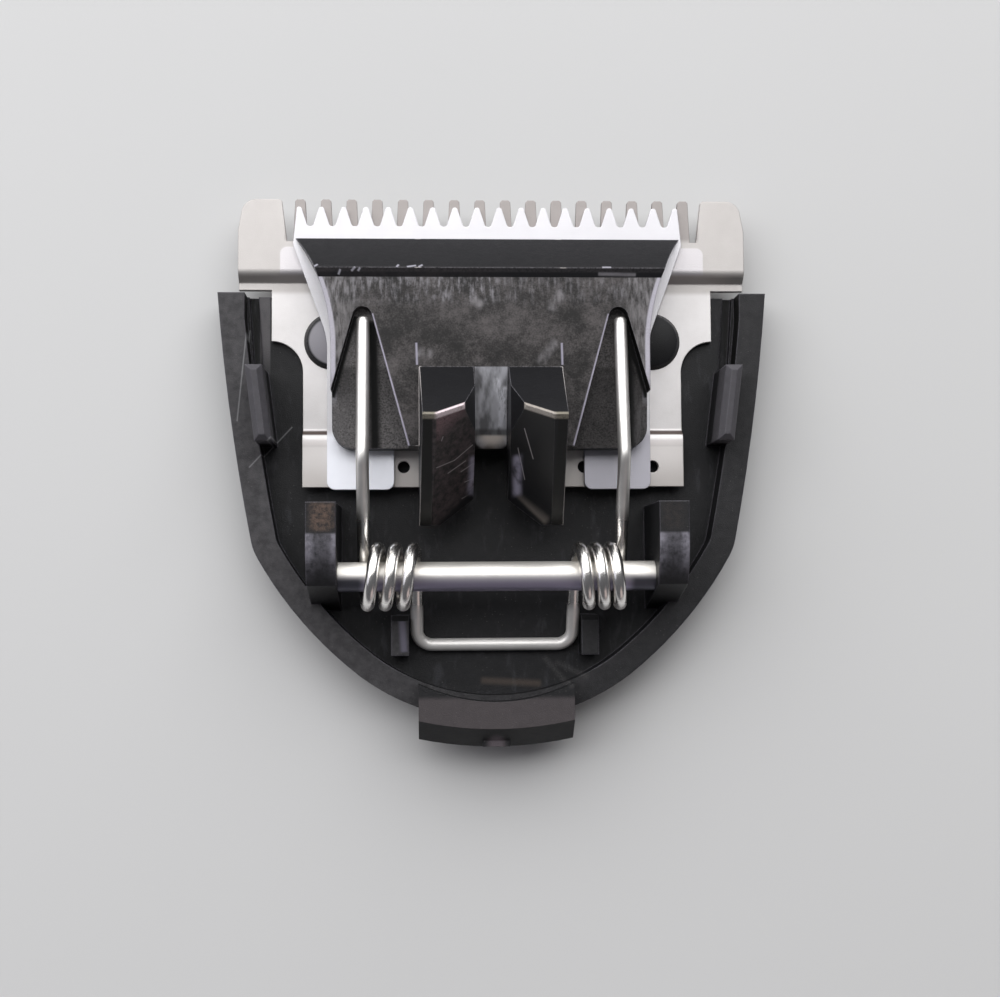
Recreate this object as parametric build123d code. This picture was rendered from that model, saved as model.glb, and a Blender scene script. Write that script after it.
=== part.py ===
from build123d import *
import math
import os

# Clip-on blade head of a hair trimmer, lying on its outer face with its working side up.
# Millimetres. Origin at the middle of the base, +Z up, +Y towards the teeth.

# Heights above the base
FLOOR_TOP = 1.3
RIM_TOP = 3.0
JOGGLE = 0.6            # step between the fixed blade's middle and its two lands
SHEET = 0.45            # fixed blade
CUTTER_SHEET = 0.4
SLIDE_GAP = 0.02        # oil film between comb and cutter
LAND_TOP = FLOOR_TOP + JOGGLE + SHEET
CUTTER_LOW = LAND_TOP + SLIDE_GAP
CUTTER_TOP = CUTTER_LOW + CUTTER_SHEET
CARRIER_TOP = 6.0
POST_TOP = 8.0
LUG_TOP = 5.7
RIB_TOP = 3.0
TAB_TOP = 4.6

# Tray outline, right half, as points on three arcs
FRONT_END = 11.2
FRONT_CORNER = (17.35, FRONT_END)
SIDE_MID = (16.4, 2.6)
HIP = (15.1, -5.0)
FLANK_MID = (12.35, -9.1)
HEEL = (8.46, -12.88)
REAR_END = -15.7
HIP_ROUND = 3.4
RIM_WIDTH = 1.55
BASE_ROUND = 1.1
SINK = 0.3              # how far a standing feature's foot runs into the floor
BEYOND = 1.0            # how far a cut runs past the surface that it opens
LAP = 0.05              # how far two joined outlines run into each other
NEAR = 0.01             # two places closer than this are the same
NOSE_RUN = 4.4          # length of the rising stretch under the front end
NOSE_RISE = 0.6

# Side lugs against the rim's inner wall, and the channel in the floor ahead of them
LUG_THICK = 1.05
LUG_FRONT = 6.3
LUG_FRONT_X = 15.38
LUG_REAR = 1.6
LUG_REAR_X = 14.78
LUG_LEAD = 0.35
CHANNEL_WIDE = 0.6
CHANNEL_REAR_X = 15.2
CHANNEL_FRONT_X = 15.6
CHANNEL_LOW = 0.85

# Ribs beside the spring's bail
RIB_IN = 5.4
RIB_OUT = 6.5
RIB_FRONT = -9.15
RIB_REAR = -11.65
RIB_LEAD = 0.35

# Rear latch tab
TAB_HALF = 4.8
TAB_FRONT = -14.45
TAB_FRONT_ARC = 11.0
TAB_REAR = -17.3
TAB_REAR_SAG = 0.5
TAB_LOW = 1.9
TAB_LEAD_Y = 1.2
TAB_LEAD_Z = 1.6
TAB_UNDERCUT = 0.8
GATE_SIZE = (1.7, 0.6, 0.5)    # trimmed moulding gate on the tab's sloping rear
GATE_MID = (0, -16.95, 3.3)

# Stakes that hold the fixed blade
STAKE_X = 10.2
STAKE_Y = 8.28
STAKE_R = 1.3
STAKE_HEAD_R = 1.83
STAKE_CROWN_R = 1.62
STAKE_HEAD_H = 0.32
HOLE_CLEAR = 0.02

# Fixed blade
TIP_Y = 17.3
COMB_ROOT = 14.6
COMB_TEETH = 16
COMB_PITCH = 1.63
COMB_TIP_W = 0.64
COMB_BASE_W = 0.9
COMB_TIP_CHAMFER = 0.12
GUARD_IN_TIP = 13.4
GUARD_IN_ROOT = 13.08
GUARD_OUT = 16.15
GUARD_TIP_OUT = 15.8
GUARD_TAPER = 2.0       # length over which a guard narrows to its tip
GUARD_ROUND = 0.95
GUARD_REAR = 11.57
BODY_HALF = 14.07
SHOULDER_Y = 8.3
SHOULDER_R = 2.0
REAR_HALF = 12.08
BLADE_REAR = -1.07
FRONT_BEND = (12.65, 12.14)
REAR_BEND = (2.5, 2.1)
BEND_ROUND = 0.35
NOTCH_HALF = 4.2
NOTCH_Y = 3.4
PILOT_R = 0.38
PILOT_XS = [5.7, 10.1]
PILOT_Y = 0.2

# Cutter, about its own centre line
CUTTER_SHIFT = -0.3     # where the cutter stands, left of the comb's centre line
CUTTER_TEETH = 18
CUTTER_PITCH = 1.409
CUTTER_TIP = 16.72
CUTTER_ROOT = 15.48
CUTTER_TIP_FLAT = 0.26
CUTTER_ROOT_FLAT = 0.34
CUTTER_HALF = 12.35
CUTTER_SHOULDER = 14.3
NECK_HALF = 10.2
NECK_Y = 8.4
NECK_ROUND = 4.0
LEG_IN = 6.0
LEG_END = -1.25
LEG_ROUND = 0.5
LEG_ROOT = 2.4
KEY_X = 6.0
KEY_Y = 11.4
KEY_LONG = 2.6
KEY_WIDE = 1.4

# Drive carrier, about the cutter's centre line
CARRIER_HALF = 9.8
CARRIER_REAR = 1.2
CARRIER_CORNER = 1.3
FLARE_START = 7.3
BEVEL_LOW = (12.2, 14.7)
BEVEL_TOP_Y = 12.15
LIP_RISE = 0.22         # raised lip along the bevel's crest
LIP_RUN = 0.55
POCKET_X = 7.87
POCKET_TIP = 9.78
POCKET_R = 0.6
POCKET_REAR_IN = 5.07
POCKET_REAR_OUT = 10.8
POCKET_TIP_Z = 5.12
POCKET_REAR_Z = 4.05
SLOT_HALF = 1.07
FORK_HALF = 4.45
FORK_DRAFT = 0.25       # how far a prong's outer side leans in towards its ridge
FORK_FRONT = 6.05
RIDGE_Y = 2.45
RIDGE_Z = 12.0
RIDGE_BREAK = 3.4       # where a prong's rear face changes direction, at the ridge and at its foot
REAR_BREAK = 3.7
RIDGE_IN = (1.83, 3.11)
FORK_REAR = -3.6
FORK_REAR_Z = 5.0
FORK_LIP_Z = 4.3
MOUTH_LOW_Z = 8.4       # where the slot's flared mouth begins
SLOT_END_Z = 4.0        # the slot's floor at its rear end
SLOT_END_ROUND = 0.8

# Spring and its pin
PIN_Y = -6.75
PIN_Z = 5.3
PIN_R = 0.9
SOCKET_DEPTH = 1.3
POST_IN = 9.67
POST_OUT = 11.48
POST_FRONT = -2.3
POST_FLAT_END = -4.16
POST_BACK = (-7.3, 7.15)
POST_CROWN = (-6.1, 7.72)
POST_HEEL = -8.9
WIRE_R = 0.4
WIRE_SIDES = 7          # the round wire is drawn with this many flats
COIL_R = 1.7
COIL_Z = PIN_Z + 0.37   # the coils hang with their undersides against the pin
COIL_OUT = 7.94
COIL_IN = 4.9
COIL_TURNS = 3
ARM_SHIFT = -0.2        # the arms stand over with the cutter
ARM_TIP_Y = 9.2
ARM_TIP_Z = 5.4
ARM_CREST_Y = 0.5       # where an arm is bent down towards its tip
ARM_CREST_Z = 6.9
ARM_BEND = 1.5
BAIL_Y = -11.0
BAIL_Z = FLOOR_TOP + WIRE_R + SLIDE_GAP
BAIL_ROUND = 1.0

ON_BASE = (Align.CENTER, Align.CENTER, Align.MIN)
ON_REAR = (Align.CENTER, Align.MIN)


def plan_prism(outline, low, high):
    """Upright prism over a plan outline."""
    return Pos(0, 0, low) * extrude(outline, amount=high - low)


def side_prism(outline, left, right):
    """Prism along X over an outline drawn in Y and Z."""
    return Pos(left, 0, 0) * extrude(Plane.YZ * outline, amount=right - left)


def polygon(*points):
    return make_face(Polyline(*points, close=True))


def both_sides(shape):
    return shape + mirror(shape, Plane.YZ)


def flip(point):
    return (-point[0], point[1])


def tray_outline():
    right = [ThreePointArc(FRONT_CORNER, SIDE_MID, HIP), ThreePointArc(HIP, FLANK_MID, HEEL)]
    left = [mirror(edge, Plane.YZ) for edge in right]
    front = Line(flip(FRONT_CORNER), FRONT_CORNER)
    rear = ThreePointArc(HEEL, (0, REAR_END), flip(HEEL))
    face = make_face([front, rear] + right + left)
    hips = [corner for corner in face.vertices() if abs(corner.Y - HIP[1]) < NEAR]
    return fillet(hips, HIP_ROUND)


def tray(outline, inner):
    body = plan_prism(outline, 0, RIM_TOP)
    base_edges = body.edges().group_by(Axis.Z)[0].sort_by(Axis.Y)[:-1]
    body = fillet(base_edges, BASE_ROUND)
    end = FRONT_END + BEYOND
    rise = NOSE_RISE * (NOSE_RUN + BEYOND) / NOSE_RUN
    nose = polygon((FRONT_END - NOSE_RUN, 0), (end, 0), (end, rise))
    body -= side_prism(nose, -FRONT_CORNER[0], FRONT_CORNER[0])
    mouth = Pos(0, FRONT_END) * Rectangle(inner.bounding_box().size.X, 2 * (RIM_WIDTH + LAP))
    return body - plan_prism(inner + mouth, FLOOR_TOP, RIM_TOP + BEYOND)


def lugs():
    plan = polygon((LUG_FRONT_X, LUG_FRONT), (LUG_FRONT_X - LUG_THICK, LUG_FRONT),
                   (LUG_REAR_X - LUG_THICK, LUG_REAR), (LUG_REAR_X, LUG_REAR))
    lug = plan_prism(plan, FLOOR_TOP - SINK, LUG_TOP)
    lug = chamfer(lug.edges().group_by(Axis.Z)[-1], LUG_LEAD)
    return both_sides(lug)


def channels():
    end = FRONT_END + BEYOND
    plan = polygon((CHANNEL_REAR_X, LUG_FRONT - LAP), (CHANNEL_FRONT_X, end),
                   (CHANNEL_FRONT_X - CHANNEL_WIDE, end), (CHANNEL_REAR_X - CHANNEL_WIDE, LUG_FRONT - LAP))
    return both_sides(plan_prism(plan, CHANNEL_LOW, RIM_TOP))


def ribs():
    foot = FLOOR_TOP - SINK
    rib = polygon((RIB_FRONT, foot), (RIB_FRONT, RIB_TOP - RIB_LEAD), (RIB_FRONT - RIB_LEAD, RIB_TOP),
                  (RIB_REAR, RIB_TOP), (RIB_REAR, foot))
    return both_sides(side_prism(rib, RIB_IN, RIB_OUT))


def latch_tab():
    sag = TAB_FRONT_ARC - math.sqrt(TAB_FRONT_ARC ** 2 - TAB_HALF ** 2)
    front_left = (-TAB_HALF, TAB_FRONT + sag)
    rear_left = (-TAB_HALF, TAB_REAR + TAB_REAR_SAG)
    face = make_face([
        ThreePointArc(front_left, (0, TAB_FRONT), flip(front_left)),
        Line(flip(front_left), flip(rear_left)),
        ThreePointArc(flip(rear_left), (0, TAB_REAR), rear_left),
        Line(rear_left, front_left),
    ])
    tab = plan_prism(face, TAB_LOW, TAB_TOP)
    tab = chamfer(tab.edges().group_by(Axis.Z)[-1].sort_by(Axis.Y)[0], TAB_LEAD_Z, TAB_LEAD_Y)
    tab = chamfer(tab.edges().group_by(Axis.Z)[0].sort_by(Axis.Y)[0], TAB_UNDERCUT)
    return tab + Pos(*GATE_MID) * Box(*GATE_SIZE)


def stakes():
    shank = Pos(0, 0, FLOOR_TOP - SINK) * Cylinder(STAKE_R, SHEET + SINK, align=ON_BASE)
    head = Pos(0, 0, FLOOR_TOP + SHEET) * Cone(STAKE_HEAD_R, STAKE_CROWN_R, STAKE_HEAD_H, align=ON_BASE)
    return both_sides(Pos(STAKE_X, STAKE_Y) * (shank + head))


def spring_posts():
    base = FLOOR_TOP - SINK
    crown = ThreePointArc((POST_FLAT_END, POST_TOP), POST_CROWN, POST_BACK)
    rest = Polyline(POST_BACK, (POST_HEEL, base), (POST_FRONT, base), (POST_FRONT, POST_TOP),
                    (POST_FLAT_END, POST_TOP))
    post = side_prism(make_face([crown, rest]), POST_IN, POST_OUT)
    socket = Pos(POST_IN, PIN_Y, PIN_Z) * Rot(0, 90, 0) * Cylinder(
        PIN_R + HOLE_CLEAR, SOCKET_DEPTH + HOLE_CLEAR, align=ON_BASE)
    return both_sides(post - socket)


def housing():
    outline = tray_outline()
    inner = offset(outline, -RIM_WIDTH)
    body = tray(outline, inner) - channels()
    body += lugs()
    body += ribs()
    body += latch_tab()
    body += stakes()
    body += spring_posts()
    return body


def comb_tooth():
    foot = COMB_ROOT - LAP
    tooth = polygon((-COMB_BASE_W / 2, foot), (-COMB_TIP_W / 2, TIP_Y),
                    (COMB_TIP_W / 2, TIP_Y), (COMB_BASE_W / 2, foot))
    return chamfer(tooth.vertices().group_by(Axis.Y)[-1], COMB_TIP_CHAMFER)


def comb_guard():
    guard = polygon((GUARD_IN_ROOT, COMB_ROOT), (GUARD_IN_TIP, TIP_Y), (GUARD_TIP_OUT, TIP_Y),
                    (GUARD_OUT, TIP_Y - GUARD_TAPER), (GUARD_OUT, COMB_ROOT))
    guard = fillet(guard.vertices().group_by(Axis.Y)[-1].sort_by(Axis.X)[-1], GUARD_ROUND)
    return chamfer(guard.vertices().group_by(Axis.Y)[-1].sort_by(Axis.X)[0], COMB_TIP_CHAMFER)


def comb_plan():
    face = Pos(0, GUARD_REAR) * Rectangle(2 * GUARD_OUT, COMB_ROOT - GUARD_REAR, align=ON_REAR)
    face += both_sides(comb_guard())
    first = -COMB_PITCH * (COMB_TEETH - 1) / 2
    for number in range(COMB_TEETH):
        face += Pos(first + number * COMB_PITCH) * comb_tooth()
    face += Pos(0, SHOULDER_Y) * Rectangle(2 * BODY_HALF, GUARD_REAR - SHOULDER_Y + LAP, align=ON_REAR)
    face += Pos(0, BLADE_REAR) * Rectangle(2 * REAR_HALF, SHOULDER_Y - BLADE_REAR + LAP, align=ON_REAR)
    web = Pos(REAR_HALF, SHOULDER_Y) * Rectangle(SHOULDER_R, SHOULDER_R, align=(Align.MIN, Align.MAX))
    web -= Pos(REAR_HALF + SHOULDER_R, SHOULDER_Y - SHOULDER_R) * Circle(SHOULDER_R)
    face += both_sides(web)
    return face - Pos(0, BLADE_REAR) * Rectangle(2 * NOTCH_HALF, NOTCH_Y - BLADE_REAR, align=ON_REAR)


def fixed_blade():
    low = FLOOR_TOP + SHEET / 2
    high = low + JOGGLE
    fold = FilletPolyline((TIP_Y + BEYOND, high), (FRONT_BEND[0], high), (FRONT_BEND[1], low),
                          (REAR_BEND[0], low), (REAR_BEND[1], high), (BLADE_REAR - BEYOND, high),
                          radius=BEND_ROUND)
    strip = side_prism(trace(fold, SHEET), -GUARD_OUT, GUARD_OUT)
    blade = strip & plan_prism(comb_plan(), 0, RIM_TOP)
    blade -= both_sides(Pos(STAKE_X, STAKE_Y) * Cylinder(STAKE_R + HOLE_CLEAR, 2 * RIM_TOP))
    for x in PILOT_XS:
        blade -= both_sides(Pos(x, PILOT_Y) * Cylinder(PILOT_R, 2 * RIM_TOP))
    return blade


def cutter_teeth():
    first = -CUTTER_PITCH * (CUTTER_TEETH - 1) / 2
    tip = CUTTER_TIP_FLAT / 2
    root = (CUTTER_PITCH - CUTTER_ROOT_FLAT) / 2
    edge = []
    for number in range(CUTTER_TEETH):
        middle = first + number * CUTTER_PITCH
        edge += [(middle - root, CUTTER_ROOT), (middle - tip, CUTTER_TIP),
                 (middle + tip, CUTTER_TIP), (middle + root, CUTTER_ROOT)]
    shoulder = (CUTTER_HALF, CUTTER_SHOULDER)
    return polygon(flip(shoulder), *edge[1:-1], shoulder)


def cutter_plan():
    half = polygon((0, CUTTER_SHOULDER), (CUTTER_HALF, CUTTER_SHOULDER), (NECK_HALF, NECK_Y),
                   (NECK_HALF, LEG_END), (LEG_IN, LEG_END), (LEG_IN, LEG_ROOT), (0, LEG_ROOT))
    half = fillet([corner for corner in half.vertices() if abs(corner.Y - NECK_Y) < NEAR], NECK_ROUND)
    half = fillet(half.vertices().group_by(Axis.Y)[0], LEG_ROUND)
    return cutter_teeth() + both_sides(half)


def cutter():
    plate = plan_prism(cutter_plan(), CUTTER_LOW, CUTTER_TOP)
    window = Rectangle(KEY_LONG + 2 * HOLE_CLEAR, KEY_WIDE + 2 * HOLE_CLEAR)
    plate -= both_sides(plan_prism(Pos(KEY_X, KEY_Y) * window, 0, CARRIER_TOP))
    return Pos(CUTTER_SHIFT) * plate


def carrier_plan():
    flare = TangentArc((CARRIER_HALF, FLARE_START), BEVEL_LOW, tangent=(0, 1))
    sides = Polyline((0, BEVEL_LOW[1]), BEVEL_LOW)
    rest = Polyline((CARRIER_HALF, FLARE_START), (CARRIER_HALF, CARRIER_REAR), (0, CARRIER_REAR))
    middle = Line((0, CARRIER_REAR), (0, BEVEL_LOW[1]))
    half = make_face([flare, sides, rest, middle])
    corner = half.vertices().group_by(Axis.Y)[0].sort_by(Axis.X)[-1]
    return both_sides(fillet(corner, CARRIER_CORNER))


def spring_pocket():
    """V-shaped pocket with a floor that falls to the rear, open at the side and the rear."""
    tip = Pos(POCKET_X, POCKET_TIP - POCKET_R) * Circle(POCKET_R)
    rear = CARRIER_REAR - LAP
    mouth = Line((POCKET_REAR_IN, rear), (POCKET_REAR_OUT, rear))
    plan = make_hull([tip.edge(), mouth])
    top = CARRIER_TOP + BEYOND
    floor = polygon((POCKET_TIP + BEYOND, POCKET_TIP_Z), (POCKET_TIP + BEYOND, top),
                    (CARRIER_REAR - BEYOND, top), (CARRIER_REAR - BEYOND, POCKET_REAR_Z))
    return plan_prism(plan, 0, top) & side_prism(floor, 0, POCKET_REAR_OUT)


def fork_prong():
    """Right prong: its rear leans back and turns in, so that the drive pin is led into the slot."""
    profile = polygon((FORK_FRONT, CARRIER_TOP - SINK), (FORK_FRONT, CARRIER_TOP), (RIDGE_Y, RIDGE_Z),
                      (FORK_REAR, FORK_REAR_Z), (FORK_REAR, FORK_LIP_Z), (CARRIER_REAR, CUTTER_TOP + LAP))
    prong = side_prism(profile, SLOT_HALF, FORK_HALF)
    ridge = Vector(RIDGE_BREAK, RIDGE_Y, RIDGE_Z)
    fall = (RIDGE_Z - CARRIER_TOP) / (FORK_FRONT - RIDGE_Y)
    ridge_in = Vector(*RIDGE_IN, CARRIER_TOP + fall * (FORK_FRONT - RIDGE_IN[1]))
    foot = Vector(REAR_BREAK, FORK_REAR, FORK_REAR_Z)
    inner_back = Plane(ridge, z_dir=(ridge_in - ridge).cross(foot - ridge))
    mouth = Plane(ridge_in, z_dir=(MOUTH_LOW_Z - ridge_in.Z, 0, RIDGE_IN[0] - SLOT_HALF))
    outer_side = Plane((FORK_HALF, RIDGE_Y, FORK_LIP_Z), z_dir=(RIDGE_Z - FORK_LIP_Z, 0, FORK_DRAFT))
    for cut in (inner_back, mouth, outer_side):
        prong = split(prong, bisect_by=cut, keep=Keep.BOTTOM)
    return prong


def drive_carrier():
    side = polygon((CARRIER_REAR, CUTTER_TOP), (BEVEL_LOW[1], CUTTER_TOP),
                   (BEVEL_TOP_Y, CARRIER_TOP + LIP_RISE), (BEVEL_TOP_Y - LIP_RUN, CARRIER_TOP),
                   (CARRIER_REAR, CARRIER_TOP))
    body = plan_prism(carrier_plan(), CUTTER_TOP, RIDGE_Z) & side_prism(side, -BEVEL_LOW[0], BEVEL_LOW[0])
    body -= both_sides(spring_pocket())
    top = CARRIER_TOP + BEYOND
    slot = polygon((FORK_FRONT, CARRIER_TOP), (FORK_FRONT, top), (CARRIER_REAR - BEYOND, top),
                   (CARRIER_REAR - BEYOND, SLOT_END_Z), (CARRIER_REAR, SLOT_END_Z))
    body -= side_prism(slot, -SLOT_HALF, SLOT_HALF)
    end = Vector(0, CARRIER_REAR, SLOT_END_Z)
    body = fillet([edge for edge in body.edges() if (edge.center() - end).length < NEAR], SLOT_END_ROUND)
    body += both_sides(fork_prong())
    key = Pos(KEY_X, KEY_Y) * Rectangle(KEY_LONG, KEY_WIDE)
    body += both_sides(plan_prism(key, CUTTER_LOW + SLIDE_GAP, CUTTER_TOP + LAP))
    return Pos(CUTTER_SHIFT) * body


def tangent_angle(across, up):
    """Slope in degrees of a wire from the coil's underside to a point so far across and up from its axis."""
    run = math.sqrt(across ** 2 + up ** 2 - COIL_R ** 2)
    return math.degrees(math.atan2(up, across) + math.atan2(COIL_R, run))


def on_coil(x, turned):
    """Point on a turn at x, turned so many degrees from the underside by way of the rear."""
    angle = math.radians(turned)
    return Vector(x, PIN_Y - COIL_R * math.sin(angle), COIL_Z - COIL_R * math.cos(angle))


def turn_arc(x, start, end):
    return ThreePointArc(on_coil(x, start), on_coil(x, (start + end) / 2), on_coil(x, end))


def spring_path(arm_x):
    """Right half of the wire's centre line: arm, coil, bail leg and half the bail's crossbar."""
    tip = Vector(arm_x, ARM_TIP_Y, ARM_TIP_Z)
    crest = Vector(arm_x, ARM_CREST_Y, ARM_CREST_Z)
    arm_angle = tangent_angle(ARM_CREST_Y - PIN_Y, ARM_CREST_Z - COIL_Z)
    leg_angle = tangent_angle(PIN_Y - BAIL_Y, BAIL_Z - COIL_Z)
    step = (arm_x - COIL_IN) / COIL_TURNS
    arm = FilletPolyline(tip, crest, on_coil(arm_x, -arm_angle), radius=ARM_BEND)
    path = [arm, turn_arc(arm_x, -arm_angle, 90)]
    for turn in range(1, COIL_TURNS + 1):
        x = arm_x - turn * step
        over = Vector(x + step / 2, PIN_Y, COIL_Z + math.hypot(COIL_R, step / 2))
        path.append(ThreePointArc(on_coil(x + step, 90), over, on_coil(x, 270)))
        path.append(turn_arc(x, 270, 450 if turn < COIL_TURNS else 360 + leg_angle))
    leg = on_coil(COIL_IN, 360 + leg_angle)
    path.append(FilletPolyline(leg, (COIL_IN, BAIL_Y, BAIL_Z), (0, BAIL_Y, BAIL_Z), radius=BAIL_ROUND))
    return Wire([edge for piece in path for edge in piece.edges()])


def half_spring(arm_x):
    path = spring_path(arm_x)
    return sweep(Plane(path @ 0, z_dir=path % 0) * RegularPolygon(WIRE_R, WIRE_SIDES), path=path)


def torsion_spring():
    right = half_spring(COIL_OUT + ARM_SHIFT)
    left = half_spring(COIL_OUT - ARM_SHIFT)
    return right + mirror(left, Plane.YZ)


def spring_pin():
    reach = POST_IN + SOCKET_DEPTH
    return Pos(0, PIN_Y, PIN_Z) * Rot(0, 90, 0) * Cylinder(PIN_R, 2 * reach)


os.makedirs("parts", exist_ok=True)
export_step(housing(), "parts/housing.step")
export_step(fixed_blade(), "parts/fixed_blade.step")
export_step(cutter(), "parts/cutter.step")
export_step(drive_carrier(), "parts/drive_carrier.step")
export_step(torsion_spring(), "parts/torsion_spring.step")
export_step(spring_pin(), "parts/spring_pin.step")
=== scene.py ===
import math
import bmesh
import bpy
from mathutils import Matrix, Vector


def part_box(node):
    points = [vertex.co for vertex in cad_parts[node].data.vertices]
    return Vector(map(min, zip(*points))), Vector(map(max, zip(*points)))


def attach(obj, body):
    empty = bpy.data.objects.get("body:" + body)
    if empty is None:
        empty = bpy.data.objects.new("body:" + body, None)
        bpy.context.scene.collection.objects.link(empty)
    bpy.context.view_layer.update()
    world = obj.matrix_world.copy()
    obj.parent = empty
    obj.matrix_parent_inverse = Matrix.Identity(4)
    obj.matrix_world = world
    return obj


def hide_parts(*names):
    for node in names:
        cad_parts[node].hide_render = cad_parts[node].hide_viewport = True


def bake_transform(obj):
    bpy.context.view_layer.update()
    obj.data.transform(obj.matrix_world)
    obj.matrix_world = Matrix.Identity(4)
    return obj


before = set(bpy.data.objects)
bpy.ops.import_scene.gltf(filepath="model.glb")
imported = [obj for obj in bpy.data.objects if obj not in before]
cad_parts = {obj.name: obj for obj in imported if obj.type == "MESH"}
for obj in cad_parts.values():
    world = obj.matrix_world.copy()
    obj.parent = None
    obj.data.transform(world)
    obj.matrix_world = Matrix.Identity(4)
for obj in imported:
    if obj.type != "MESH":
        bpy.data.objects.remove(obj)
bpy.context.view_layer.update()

# Looks of a trimmer's blade head, seen from above its working side.
# Meshes are in metres, as the frame is. Patterns and marks are placed in millimetres.
MM = 0.001

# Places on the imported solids
PIN_LOW, PIN_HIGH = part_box("spring_pin")
PIN_MID = (PIN_LOW + PIN_HIGH) / 2

# Spring wire, drawn from each arm's tip through its coil to the middle of the bail
WIRE_R = 0.4 * MM
WIRE_SIDES = 24
TIP_EASE = 0.14 * MM
ARM_RIGHT = 7.74 * MM
ARM_LEFT = 8.14 * MM
ARM_TIP = Vector((0, 9.2, 5.4)) * MM
ARM_CREST = Vector((0, 0.5, 6.9)) * MM
ARM_BEND = 1.5 * MM
COIL_LIFT = 0.37 * MM
COIL_R = 1.7 * MM
COIL_IN = 4.9 * MM
COIL_TURNS = 3
OVER_RATE = 1.63        # how much faster the wire steps sideways over the pin than under it
BAIL = Vector((0, -11.0, 1.72)) * MM
BAIL_ROUND = 1.0 * MM
RUN_STEPS = 20
TURN_STEPS = 28         # in half a turn of a coil

# Cutter teeth
TOOTH_VALLEY = 14.0 * MM
TOOTH_EASE = 0.125 * MM
TOOTH_STEPS = 5

# Eased edges
HOUSING_EASE = 0.15
TAB_EASE = 0.03
CARRIER_EASE = 0.11
COMB_EASE = 0.07
CUTTER_EASE = 0.05
EASE_SAMPLES = 8

# Housing. A mark is a stroke from one place to another in plan.
RIM_Z = 3.0
CHANNEL_X = 15.45
POST_X = 10.5
STAKE_X = 10.2
STAKE_Y = 8.28
STAKE_R = 1.83
STAKE_CROWN = 0.4
GATE = (0.0, -17.1)
# Painted highlight on a rib's inner side
RIB_HIGHLIGHT = ((-5.85, -9.2), (-5.7, -11.3))
TAB_GRIME = ((-0.7, -13.3), (2.8, -13.5))
RIM_HAIRS = [((-15.49, 9.05), (-16.09, 3.06)), ((-12.81, 2.85), (-15.33, 0.15))]
FLOOR_SCRATCHES = [((3.2, -11.9), (4.6, -13.5)), ((4.0, -12.2), (5.7, -13.0))]

# Drive carrier, about the cutter's centre line
CUTTER_MID = -0.3
CARRIER_HALF = 9.8
FLARE_START = 7.3
FLARE_R = 11.98
RIDGE_Z = 12.0
RIDGE_BREAK = 3.4
RIDGE_FALL = 0.7        # how steeply a prong's ridge falls inwards of its break
# Line of the painted highlight on each pocket's inner wall, and line of the painted shade along its outer wall
POCKET_IN_HIGHLIGHT = ((7.27, 9.3), (5.05, 1.2))
POCKET_OUT_SHADE = ((8.35, 9.3), (9.75, 4.4))

# Marks on the carrier, and the places of its painted highlights and shadows
TOP_SMUDGES = [((-4.7, 6.95), (-4.1, 6.85)), ((2.75, 6.4), (3.6, 7.5)), ((-1.3, 10.2), (-0.95, 9.95)),
               ((3.9, 10.6), (3.5, 9.7))]
PRONG_ROOT_HIGHLIGHTS = [((-4.87, 7.5), (-4.83, 6.2)), ((4.05, 7.5), (4.08, 6.2))]
LIP_RUB = ((6.4, 11.8), (8.6, 11.76))
LIP_DABS = [((-11.1, 12.2), (-10.9, 12.35)), ((-9.6, 11.75), (-9.5, 12.0)), ((-8.8, 11.95), (-8.6, 12.15)),
            ((-8.4, 11.95), (-8.3, 12.1)), ((-6.05, 12.2), (-5.95, 12.35)), ((-5.4, 12.2), (-4.9, 12.3)),
            ((-4.7, 12.2), (-4.5, 12.35)), ((6.6, 12.2), (7.1, 12.2))]
PRONG_RUB = ((1.3, -2.1), (2.9, -3.4))
PRONG_HAIRS = [((-3.7, -0.36), (-2.6, 0.15)), ((-2.6, 0.15), (-1.5, 1.1)), ((-3.0, -0.6), (-1.9, 0.2)),
               ((-3.4, 1.1), (-3.3, 1.35)), ((1.5, 1.9), (2.1, 0.2)), ((1.2, 0.9), (1.7, -0.9)),
               ((-1.42, 0.1), (-2.2, -0.45)), ((-1.42, -0.75), (-1.95, -1.0)), ((-1.4, -1.55), (-2.1, -1.95))]
SLOT_SCUFFS = [((-1.42, 0.3), (-1.5, -1.5)), ((1.2, 0.3), (1.3, -1.6))]
SLOT_BROAD_RUN = ((0.5, 3.0), (0.1, 5.2))
SLOT_FINE_RUN = ((0.3, 2.6), (0.55, 4.8))
SLOT_END_HIGHLIGHT = (-0.15, 2.0)
SLOT_RIM_SHADE = (-0.2, 2.3)
ARM_SHADOWS = [((-7.55, 8.9), (-7.45, 1.3)), ((8.3, 8.9), (8.4, 1.3))]

# Comb: its rear bend, where painted shade and a painted highlight go, and the track that is ground on it for the
# cutter
CREASE_Y = 2.4
BEND_END_Y = 1.8
TRACK_HALF = 13.5
TRACK_FRONT = 14.25
TRACK_ROUND = 0.45

# Floor and soft studio light. A box has its place and size in metres and its power in watts.
FLOOR_HALF = 0.6
SOFT_BOXES = [
    ("window_softbox", Vector((-0.04, 0.235, 0.225)), (0.8, 0.46), 3.1, (1, 1, 1)),
    ("left_fill", Vector((-0.32, 0.02, 0.16)), (0.2, 0.2), 0.12, (0.9, 0.9, 1.0)),
    ("rear_fill", Vector((0.14, -0.30, 0.14)), (0.2, 0.2), 0.05, (1.0, 0.8, 0.75)),
]
STUDIO_TINT = (0.92, 0.93, 1.0, 1.0)
STUDIO_STRENGTH = 0.1

# Camera
LENS = 56.8
SENSOR = 36.0
NEAR_CLIP = 0.005
FAR_CLIP = 10.0
CAMERA_AT = Vector((-4.38, -7.88, 101.83)) * MM
CAMERA_TURN = (math.radians(3.507), math.radians(-2.711), math.radians(-0.355))


def rgb(red, green, blue):
    return (red, green, blue, 1.0)


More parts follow.
